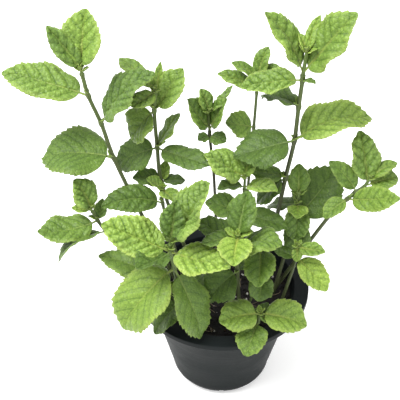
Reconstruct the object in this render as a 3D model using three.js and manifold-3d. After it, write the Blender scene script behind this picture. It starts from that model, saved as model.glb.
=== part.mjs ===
// Potted mint plant: a moulded nursery pot, its potting soil, fifteen rooted stems
// and the leaf pairs and growing tips that each stem carries.
// Millimetres, +Z up. The origin is the middle of the pot's base, on the ground.
// +X is to the right and -Y is towards the plant's front.
import * as THREE from "three";
import { mergeVertices } from "three/addons/utils/BufferGeometryUtils.js";
import Module from "manifold-3d";

const wasm = await Module();
wasm.setup();

// ---- driving dimensions -------------------------------------------------------------

const GAP = 0.35;                  // clearance between neighbouring pieces

const POT = {
  height: 87,
  rimRadius: 65,                   // outer edge of the lip
  lipThickness: 1.6,
  skirtDrop: 4.5,                  // downturned edge of the lip
  neckRadius: 56,                  // outside of the wall, just under the lip
  shoulderRadius: 38.5,            // outside of the wall, just above the base corner
  shoulderHeight: 11,
  footRadius: 27,                  // outer edge of the flat base
  wall: 1.6,
  floor: 1.8,
  segments: 32,
  cornerSteps: 4,
  lipChamfer: 0.6,
  mouthChamfer: 1,
};

const DRAIN = {                    // slots through the pot's base corner
  count: 6,
  radius: 33,                      // from the pot's axis to a slot's middle
  length: 9,
  width: 3.4,
  depth: 12,
  middle: 2,                       // height of a slot cutter's middle
};

const SOIL = {
  edgeHeight: 77.5,                // where the surface meets the wall
  crown: 1.5,                      // the middle stands this much higher
  crownShare: 0.7,                 // of that height is reached at this share of the radius
  crownRadius: 0.6,
  cornerInset: 1,                  // clearance inside the pot's rounded corner
  segments: 28,
  holeGap: 0.6,                    // clearance round a stem in the soil
  holeSides: 6,
};

const STEM_STEPS = 3;              // straight pieces between two points of a stem

const COLLAR = { gap: 0.5, wall: 1.5, height: 2.8, sides: 8, boreLength: 14 };

const BUD = { radius: 1.7, length: 5, around: 6, along: 4 };
const TIP_TAPER = 0.8;             // a growing tip's stem is this much thinner

// A leaf's outline: place along the leaf, half width as a share of the full half
// width, and half thickness in millimetres at the midrib.
const BLADE = [
  { at: 0.10, half: 0.10, thick: 0.7 },
  { at: 0.175, half: 0.56, thick: 0.6 },
  { at: 0.30, half: 0.90, thick: 0.5 },
  { at: 0.45, half: 1.00, thick: 0.5 },
  { at: 0.65, half: 0.88, thick: 0.45 },
  { at: 0.85, half: 0.55, thick: 0.4 },
  { at: 0.95, half: 0.28, thick: 0.35 },
];
const SMALL_LEAF = 20;             // a leaf narrower than this has every other station
const PETIOLE_HALF = 0.8;          // half width and half thickness of a leaf's stalk
const BLADE_FOLD = 15;             // degrees that each half of a blade stands above flat
const MIDRIB_STEPS = 40;

// ---- the plant ------------------------------------------------------------------------
// Each shoot: its name, the radius of its stem, the points that the stem passes through,
// the point from which the growing tip is one piece, and the whorls of leaves.
// A whorl names a point of the stem and its leaves as
// [heading, rise, length, width, roll, arch]: degrees from +X, degrees above level,
// millimetres, millimetres, degrees about the leaf's own line, and the degrees by which
// the leaf bends down between its base and its tip.

const SHOOTS = [
  {
    "name": "left_tall", "radius": 1.5, "tip": 5,
    "path": [[-28, 2, 66], [-34, 2, 84], [-75, 5, 198], [-82, 8, 224],
      [-89, 9, 245], [-92, 10, 261]],
    "whorls": [
      [2, [[177, -2, 53, 44, 17, 49]]],
      [3, [[4, 47, 54, 33, -15, 34]]],
      [4, [[170, 13, 60, 29, 18, 10]]],
      [5, [[75, 65, 40, 27, 0, 25], [164, 54, 36, 18, 40, 30]]],
    ],
  },
  {
    "name": "left_back", "radius": 1.4, "tip": 5,
    "path": [[-18, 14, 66], [-21, 14, 84], [-44, 13, 172], [-46, 15, 200],
      [-47, 15, 230], [-46, 15, 243]],
    "whorls": [
      [2, [[15, -5, 18, 13, 0, 20], [-179, 12, 21, 16, 20, 20], [70, 50, 16, 9, 0, -30]]],
      [3, [[168, -29, 37, 26, 35, 10], [-28, -1, 41, 20, -10, -18], [30, 54, 29, 17, 13, 3]]],
      [4, [[32, 50, 34, 23, -20, -20], [-171, -55, 29, 27, 26, 26]]],
      [5, [[56, 72, 20, 6, -14, -32], [-137, -9, 21, 15, 11, -11], [136, 18, 37, 15, -1, 28]]],
    ],
  },
  {
    "name": "centre_thin", "radius": 1.1, "tip": 4,
    "path": [[-2, 20, 66], [-3, 20, 84], [-7, 23, 173], [-10, 25, 203],
      [-10, 25, 207], [-11, 25, 220]],
    "whorls": [
      [3, [[-159, -9, 9, 10, 9, 4], [-28, -4, 13, 14, -10, 19]]],
      [4, [[-169, 60, 30, 21, 33, -10], [-12, 68, 28, 18, -35, -16]]],
      [5, [[139, 67, 18, 12, 6, 24], [16, 50, 26, 10, -1, -41]]],
    ],
  },
  {
    "name": "back_thin", "radius": 1.1, "tip": 3,
    "path": [[14, 28, 66], [15, 28, 84], [21, 34, 204], [22, 35, 232], [22, 35, 241]],
    "whorls": [
      [2, [[-158, 22, 24, 20, 40, 10]]],
      [3, [[174, 23, 30, 14, 15, 20], [17, 20, 22, 14, 0, 20]]],
      [4, [[168, 28, 21, 13, 0, 20], [42, 67, 23, 13, 0, 20], [-10, 35, 18, 12, -30, 20]]],
    ],
  },
  {
    "name": "right_tall", "radius": 1.5, "tip": 6,
    "path": [[29, 10, 66], [32, 10, 84], [43, 10, 178], [47, 10, 209],
      [48, 10, 236], [49, 10, 256], [49, 10, 260], [50, 10, 274]],
    "whorls": [
      [2, [[175, 9, 26, 15, 15, 20], [-175, -48, 30, 20, 10, 20]]],
      [3, [[12, 10, 59, 33, -10, 60], [-172, -13, 43, 34, 15, 15]]],
      [4, [[150, 0, 28, 27, -7, 47]]],
      [5, [[-177, -6, 41, 20, 15, 20], [-38, 8, 10, 7, 0, 10]]],
      [6, [[168, 57, 48, 21, 18, 18], [-11, 58, 53, 31, -32, -9]]],
      [7, [[60, 47, 26, 8, -8, 5], [128, 55, 13, 8, 0, 10]]],
    ],
  },
  {
    "name": "right_wide", "radius": 1.4, "tip": 5,
    "path": [[34, 2, 66], [43, 2, 84], [78, 0, 157], [86, 0, 167],
      [91, 0, 173], [97, 0, 178], [99, 1, 182]],
    "whorls": [
      [3, [[-41, 28, 44, 18, -60, -16], [-150, -24, 22, 14, 10, 10]]],
      [4, [[168, 48, 32, 14, 50, 45]]],
      [5, [[113, 62, 39, 21, 4, 12], [10, 8, 23, 17, -30, 20]]],
      [6, [[21, 25, 23, 13, 0, 60]]],
    ],
  },
  {
    "name": "right_inner", "radius": 1.3, "tip": 4,
    "path": [[36, -4, 66], [40, -2, 84], [52, 9, 143], [53, 10, 154], [53, 10, 161]],
    "whorls": [
      [2, [[30, 46, 48, 36, -30, -30], [-84, -58, 31, 20, 0, 20], [-52, -62, 22, 13, 20, 20]]],
      [3, [[-95, 0, 16, 15, 0, 10], [140, -28, 31, 15, 15, 20],
        [-97, -57, 27, 19, 0, 20]]],
      [4, [[90, 68, 23, 16, 0, 15]]],
    ],
  },
  {
    "name": "right_low", "radius": 1.2, "tip": 3,
    "path": [[40, -16, 66], [44, -16, 84], [52, -15, 126], [52, -15, 134]],
    "whorls": [
      [2, [[-43, -27, 33, 20, -13, 24], [159, 8, 17, 12, 0, 10]]],
      [3, [[-32, 15, 22, 12, -23, -22], [-97, -41, 11, 8, 0, 10]]],
    ],
  },
  {
    "name": "front_right", "radius": 1.2, "tip": 3,
    "path": [[20, -38, 66], [22, -43, 84], [24, -50, 96], [25, -50, 103]],
    "whorls": [
      [2, [[-111, -18, 28, 22, 0, 40], [55, 38, 16, 12, 0, 10]]],
      [3, [[-168, -4, 30, 26, 15, 20], [-14, -6, 34, 26, -15, 20], [-45, -23, 9, 6, 0, 0]]],
    ],
  },
  {
    "name": "front_left", "radius": 1.5, "tip": 6,
    "path": [[-22, -28, 66], [-25, -32, 84], [-30, -38, 105], [-32, -41, 122],
      [-34, -45, 143], [-36, -45, 158], [-36, -45, 165]],
    "whorls": [
      [2, [[-146, -41, 31, 22, 0, 20]]],
      [3, [[159, 10, 63, 24, 8, 25], [26, -30, 37, 26, -20, 20]]],
      [4, [[-151, -43, 59, 42, 12, 45], [-42, -62, 58, 30, 0, 20]]],
      [5, [[173, 24, 50, 28, 28, -4], [-33, 13, 47, 29, -5, -13],
        [-132, 15, 33, 22, -3, -33]]],
      [6, [[51, 78, 32, 17, -25, -2], [19, 58, 51, 39, 0, -25]]],
    ],
  },
  {
    "name": "left_low", "radius": 1.3, "tip": 4,
    "path": [[-29, -14, 66], [-38, -14, 84], [-82, -15, 150], [-87, -15, 160], [-90, -15, 168]],
    "whorls": [
      [2, [[-149, -14, 43, 20, -24, 60]]],
      [3, [[-160, 4, 43, 27, 11, -45], [75, 40, 17, 10, 0, -70]]],
      [4, [[154, 61, 25, 20, 16, 21], [177, 5, 14, 7, 24, -32]]],
    ],
  },
  {
    "name": "centre_top", "radius": 1.2, "tip": 3,
    "path": [[10, -4, 66], [11, -4, 84], [13, -1, 154], [14, 0, 176], [14, 0, 183]],
    "whorls": [
      [2, [[170, 16, 28, 22, 10, 15], [-14, -10, 34, 19, -13, 8]]],
      [3, [[-25, 10, 25, 17, 0, 20], [-167, 4, 20, 13, 0, 15]]],
      [4, [[175, 33, 34, 27, 11, -7], [50, 66, 19, 14, 0, 15]]],
    ],
  },
  {
    "name": "front_centre", "radius": 1.3, "tip": 4,
    "path": [[12, -24, 66], [12, -27, 84], [9, -37, 133], [8, -43, 159], [8, -46, 170]],
    "whorls": [
      [2, [[-160, -42, 29, 28, 20, 20], [60, 0, 17, 13, 0, 10]]],
      [3, [[152, 24, 33, 24, 0, 20], [-12, 18, 33, 30, 9, 52]]],
      [4, [[-97, -5, 26, 23, 0, 25], [70, 48, 32, 20, 0, 20], [167, 34, 11, 8, 0, 20],
        [11, 22, 11, 8, 0, 20], [-165, 2, 25, 15, 0, 15]]],
    ],
  },
  {
    "name": "left_inner", "radius": 1.2, "tip": 3,
    "path": [[-24, -4, 66], [-27, -3, 84], [-43, 4, 160], [-43, 5, 169]],
    "whorls": [
      [2, [[-156, 14, 48, 21, 35, 46]]],
      [3, [[165, 35, 14, 11, 0, 10], [-55, 2, 17, 14, 0, 10]]],
    ],
  },
  {
    "name": "front_low", "radius": 1.1, "tip": 2,
    "path": [[15, -25, 66], [17, -28, 84], [25, -36, 128], [24, -35, 149]],
    "whorls": [
      [2, [[-94, -39, 20, 18, 8, 35]]],
      [3, [[-96, -16, 30, 22, -5, 36]]],
    ],
  },
];

// ---- materials ------------------------------------------------------------------------

function material(color, roughness) {
  return new THREE.MeshStandardMaterial({ color, roughness, metalness: 0 });
}

const charcoalPlastic = material(0x3a3c40, 0.55);
const darkSoil = material(0x1e1b1e, 0.95);
const greenStem = material(0x4b5532, 0.6);
const leafGreen = material(0x6e963c, 0.6);

// ---- solids and meshes ------------------------------------------------------------------

// A closed three.js geometry as a manifold solid.
function solidOf(geometry) {
  const bare = geometry.index ? geometry.toNonIndexed() : geometry.clone();
  bare.deleteAttribute("normal");
  bare.deleteAttribute("uv");
  const merged = mergeVertices(bare, 1e-4);
  const mesh = new wasm.Mesh({
    numProp: 3,
    vertProperties: new Float32Array(merged.attributes.position.array),
    triVerts: new Uint32Array(merged.index.array),
  });
  mesh.merge();
  return new wasm.Manifold(mesh);
}

// A manifold solid back as a flat-shaded three.js geometry.
function geometryOf(solid) {
  const { numProp, vertProperties, triVerts } = solid.getMesh();
  const position = new Float32Array((vertProperties.length / numProp) * 3);
  for (let i = 0; i < position.length / 3; i += 1) {
    position.set(vertProperties.subarray(i * numProp, i * numProp + 3), i * 3);
  }
  const geometry = new THREE.BufferGeometry();
  geometry.setAttribute("position", new THREE.BufferAttribute(position, 3));
  geometry.setIndex(Array.from(triVerts));
  geometry.computeVertexNormals();
  return geometry;
}

function named(name, geometry, look) {
  const mesh = new THREE.Mesh(geometry, look);
  mesh.name = name;
  return mesh;
}

// A geometry built along +Y is turned to lie along `direction` with its middle at `centre`.
function placeAlong(geometry, centre, direction) {
  const turn = new THREE.Quaternion().setFromUnitVectors(new THREE.Vector3(0, 1, 0), direction);
  return geometry.applyQuaternion(turn).translate(centre.x, centre.y, centre.z);
}

function latheUp(profile, segments) {
  const points = profile.map(([radius, height]) => new THREE.Vector2(radius, height));
  return new THREE.LatheGeometry(points, segments).rotateX(Math.PI / 2);
}

// ---- pot ------------------------------------------------------------------------------

// A quarter turn of the rounded base corner, from the foot up to the wall.
function baseCorner(inset) {
  const width = POT.shoulderRadius - POT.footRadius;
  const points = [];
  for (let i = 0; i <= POT.cornerSteps; i += 1) {
    const angle = (i / POT.cornerSteps) * (Math.PI / 2);
    points.push([
      POT.footRadius + (width - inset) * Math.sin(angle),
      inset + (POT.shoulderHeight - inset) * (1 - Math.cos(angle)),
    ]);
  }
  return points;
}

function potGeometry() {
  const underLip = POT.height - POT.lipThickness;
  const skirtEnd = POT.height - POT.skirtDrop;
  const innerCorner = baseCorner(POT.wall)
    .map(([radius, height]) => [radius, height + POT.floor - POT.wall])
    .reverse();
  const profile = [
    [0, 0],
    ...baseCorner(0),
    [POT.neckRadius, underLip],
    [POT.rimRadius - POT.wall, underLip],
    [POT.rimRadius - POT.wall, skirtEnd],
    [POT.rimRadius, skirtEnd],
    [POT.rimRadius, POT.height - POT.lipChamfer],
    [POT.rimRadius - POT.lipChamfer, POT.height],
    [POT.neckRadius - POT.wall + POT.mouthChamfer, POT.height],
    [POT.neckRadius - POT.wall, POT.height - POT.mouthChamfer],
    ...innerCorner,
    [0, POT.floor],
  ];
  return latheUp(profile, POT.segments);
}

// The pot has its drain slots at equal turns round its axis.
function pot() {
  let solid = solidOf(potGeometry());
  for (let i = 0; i < DRAIN.count; i += 1) {
    const angle = ((i + 0.5) / DRAIN.count) * 2 * Math.PI;
    const slot = new THREE.BoxGeometry(DRAIN.length, DRAIN.width, DRAIN.depth);
    slot.translate(DRAIN.radius, 0, DRAIN.middle).rotateZ(angle);
    solid = solid.subtract(solidOf(slot));
  }
  return named("pot", geometryOf(solid), charcoalPlastic);
}

// ---- stems ----------------------------------------------------------------------------

function vectors(points) {
  return points.map(([x, y, z]) => new THREE.Vector3(x, y, z));
}

// Mint has square stems: the section's corners lie on the stem's radius.
function stemSection(radius) {
  const outline = new THREE.Shape();
  outline.moveTo(radius, 0);
  outline.lineTo(0, radius);
  outline.lineTo(-radius, 0);
  outline.lineTo(0, -radius);
  outline.closePath();
  return outline;
}

function stemGeometry(points, radius) {
  return new THREE.ExtrudeGeometry(stemSection(radius), {
    steps: STEM_STEPS * (points.length - 1),
    extrudePath: new THREE.CatmullRomCurve3(points),
  });
}

// The part of a shoot's path below its growing tip.
function stemPoints(shoot) {
  return vectors(shoot.path.slice(0, shoot.tip + 1));
}

// The direction of a shoot's stem at one of its points.
function directionAt(shoot, index) {
  return new THREE.CatmullRomCurve3(stemPoints(shoot)).getTangent(index / shoot.tip);
}

// ---- soil -----------------------------------------------------------------------------

function soilWallRadius(height) {
  const rise = (height - POT.shoulderHeight) / (POT.height - POT.lipThickness - POT.shoulderHeight);
  return POT.shoulderRadius + (POT.neckRadius - POT.shoulderRadius) * rise - POT.wall - 2 * GAP;
}

function soil() {
  const bottom = POT.floor + GAP;
  const cornerHeight = POT.shoulderHeight + POT.floor;
  const edgeRadius = soilWallRadius(SOIL.edgeHeight);
  const profile = [
    [0, bottom],
    [POT.footRadius - 2 * GAP, bottom],
    [soilWallRadius(cornerHeight) - SOIL.cornerInset, cornerHeight],
    [edgeRadius, SOIL.edgeHeight],
    [edgeRadius * SOIL.crownRadius, SOIL.edgeHeight + SOIL.crown * SOIL.crownShare],
    [0, SOIL.edgeHeight + SOIL.crown],
  ];
  let solid = solidOf(latheUp(profile, SOIL.segments));
  for (const shoot of SHOOTS) {
    const [start, above] = vectors(shoot.path);
    const along = above.clone().sub(start).normalize();
    const length = start.distanceTo(above);
    const radius = shoot.radius + SOIL.holeGap;
    const hole = new THREE.CylinderGeometry(radius, radius, length + 2 * GAP, SOIL.holeSides);
    const middle = start.clone().add(above).multiplyScalar(0.5);
    solid = solid.subtract(solidOf(placeAlong(hole, middle, along)));
  }
  return named("potting_soil", geometryOf(solid), darkSoil);
}

// ---- leaves ---------------------------------------------------------------------------

const degrees = THREE.MathUtils.degToRad;

// The line of a leaf's midrib, bending evenly about the rise of its chord, with the
// side and upper directions at each place along it.
function midrib([heading, rise, length, , roll, arch], base) {
  const level = new THREE.Vector3(Math.cos(degrees(heading)), Math.sin(degrees(heading)), 0);
  const flatSide = new THREE.Vector3(level.y, -level.x, 0);
  const point = base.clone();
  const frames = [];
  for (let i = 0; i <= MIDRIB_STEPS; i += 1) {
    const along = i / MIDRIB_STEPS;
    const tilt = degrees(rise + arch * (0.5 - along));
    const forward = level.clone().multiplyScalar(Math.cos(tilt));
    forward.z = Math.sin(tilt);
    const top = flatSide.clone().cross(forward);
    const turn = degrees(roll);
    const side = flatSide.clone().multiplyScalar(Math.cos(turn)).addScaledVector(top, Math.sin(turn));
    frames.push({ point: point.clone(), side, top: side.clone().cross(forward) });
    point.addScaledVector(forward, length / MIDRIB_STEPS);
  }
  return (along) => frames[Math.round(along * MIDRIB_STEPS)];
}

// One leaf: a stalk that widens into a blade with a chevron section and a pointed end.
function leafGeometry(leaf, base) {
  const frameAt = midrib(leaf, base);
  const halfWidth = leaf[3] / 2;
  const fold = Math.tan(degrees(BLADE_FOLD));
  const blade = BLADE.filter((_, i) => leaf[3] >= SMALL_LEAF || i % 2 === 0);
  const stations = [{ at: 0, half: PETIOLE_HALF / halfWidth, thick: PETIOLE_HALF }, ...blade];
  const position = [];
  for (const { at, half, thick } of stations) {
    const { point, side, top } = frameAt(at);
    const reach = half * halfWidth;
    const lift = at > BLADE[0].at ? reach * fold : 0;
    for (const [across, up] of [[-reach, lift], [0, thick], [reach, lift], [0, -thick]]) {
      position.push(...point.clone().addScaledVector(side, across).addScaledVector(top, up).toArray());
    }
  }
  position.push(...frameAt(1).point.toArray());
  const index = [0, 2, 1, 0, 3, 2];
  const last = (stations.length - 1) * 4;
  for (let ring = 0; ring < last; ring += 4) {
    for (let k = 0; k < 4; k += 1) {
      const next = (k + 1) % 4;
      index.push(ring + k, ring + next, ring + 4 + k, ring + next, ring + 4 + next, ring + 4 + k);
    }
  }
  for (let k = 0; k < 4; k += 1) {
    index.push(last + k, last + ((k + 1) % 4), last + 4);
  }
  const geometry = new THREE.BufferGeometry();
  geometry.setAttribute("position", new THREE.Float32BufferAttribute(position, 3));
  geometry.setIndex(index);
  return geometry;
}

function joined(geometries) {
  return geometries.map(solidOf).reduce((whole, piece) => whole.add(piece));
}

// Leaves of one whorl, held by the collar that their stalks form round the stem.
function whorlGeometry(shoot, [index, leaves]) {
  const base = vectors(shoot.path)[index];
  const along = directionAt(shoot, index);
  const outer = shoot.radius + COLLAR.wall;
  const bore = shoot.radius + COLLAR.gap;
  const ring = new THREE.CylinderGeometry(outer, outer, COLLAR.height, COLLAR.sides);
  const stemRoom = new THREE.CylinderGeometry(bore, bore, COLLAR.boreLength, COLLAR.sides);
  placeAlong(ring, base, along);
  placeAlong(stemRoom, base, along);
  const whole = joined([ring, ...leaves.map((leaf) => leafGeometry(leaf, base))]);
  return geometryOf(whole.subtract(solidOf(stemRoom)));
}

// The growing tip: the last joints of the stem, the bud and the young leaves as one piece.
function tipGeometry(shoot) {
  const points = vectors(shoot.path);
  const along = directionAt(shoot, shoot.tip);
  const last = points[points.length - 1];
  const start = points[shoot.tip].clone().addScaledVector(along, 2 * GAP);
  const end = last.clone().addScaledVector(along, GAP + BUD.length / 2);
  const core = [start, ...points.slice(shoot.tip + 1), end];
  const bud = new THREE.SphereGeometry(BUD.radius, BUD.around, BUD.along)
    .scale(1, BUD.length / (2 * BUD.radius), 1);
  const pieces = [stemGeometry(core, shoot.radius * TIP_TAPER), placeAlong(bud, end, along)];
  for (const [index, leaves] of shoot.whorls.filter(([at]) => at >= shoot.tip)) {
    const base = points[index].clone().addScaledVector(along, 3 * GAP + PETIOLE_HALF);
    pieces.push(...leaves.map((leaf) => leafGeometry(leaf, base)));
  }
  return geometryOf(joined(pieces));
}

function shootMeshes(shoot) {
  const stem = named(`stem_${shoot.name}`, stemGeometry(stemPoints(shoot), shoot.radius), greenStem);
  const pairs = shoot.whorls
    .filter(([index]) => index < shoot.tip)
    .map((whorl, i) => named(`leaves_${shoot.name}_${i + 1}`, whorlGeometry(shoot, whorl), leafGreen));
  return [stem, ...pairs, named(`tip_${shoot.name}`, tipGeometry(shoot), leafGreen)];
}

// ---- the whole plant --------------------------------------------------------------------

const plant = new THREE.Group();
plant.add(pot(), soil());
for (const shoot of SHOOTS) {
  plant.add(...shootMeshes(shoot));
}

export default plant;
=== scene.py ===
"""Looks of the potted mint plant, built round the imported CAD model.

Leaves, stems, growing tips, soil and pot are each rebuilt as a detailed mesh in the
place of their CAD node. Shapes are worked out in millimetres from the lists that the
CAD uses, and scaled to metres when a mesh is made.
"""

import math

import bpy
import numpy as np
from mathutils import Matrix, Vector, noise


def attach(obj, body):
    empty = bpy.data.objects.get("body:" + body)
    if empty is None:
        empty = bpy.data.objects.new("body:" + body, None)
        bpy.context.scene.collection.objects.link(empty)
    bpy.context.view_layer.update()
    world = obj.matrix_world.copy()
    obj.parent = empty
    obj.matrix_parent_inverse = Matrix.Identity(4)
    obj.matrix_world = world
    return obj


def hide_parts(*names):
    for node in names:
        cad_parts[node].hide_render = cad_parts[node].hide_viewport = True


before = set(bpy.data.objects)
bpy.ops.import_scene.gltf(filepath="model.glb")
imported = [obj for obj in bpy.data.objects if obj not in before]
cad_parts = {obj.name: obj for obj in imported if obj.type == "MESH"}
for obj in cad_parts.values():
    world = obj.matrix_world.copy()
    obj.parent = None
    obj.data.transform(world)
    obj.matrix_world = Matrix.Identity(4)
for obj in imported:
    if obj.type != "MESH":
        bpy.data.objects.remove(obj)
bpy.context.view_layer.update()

MM = 0.001
ANY_ANGLE = 6.3  # random angles lie between 0 and this, in radians
FIRST_SHOOT_SEED = 11
SOIL_SEED = 77

# ---- the plant, as in the CAD (millimetres and degrees) ----

GAP = 0.35
PETIOLE_HALF = 0.8

POT = {
    "height": 87, "rim_radius": 65, "lip_thickness": 1.6, "skirt_drop": 4.5, "neck_radius": 56,
    "shoulder_radius": 38.5, "shoulder_height": 11, "foot_radius": 27, "wall": 1.6, "floor": 1.8,
}
DRAIN = {"count": 6, "radius": 33, "length": 9, "width": 3.4, "depth": 12, "middle": 2}
SOIL = {"edge_height": 77.5, "crown": 1.5}

# Each shoot: its name, the radius of its stem, the points that the stem passes through,
# the point from which the growing tip is one piece, and the whorls of leaves.
# A whorl names a point of the stem and its leaves as
# [heading, rise, length, width, roll, arch]. Two leaves are narrower here than their CAD
# solids: the second of left_tall's tip, which also rolls more, and front_left's widest.

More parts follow.
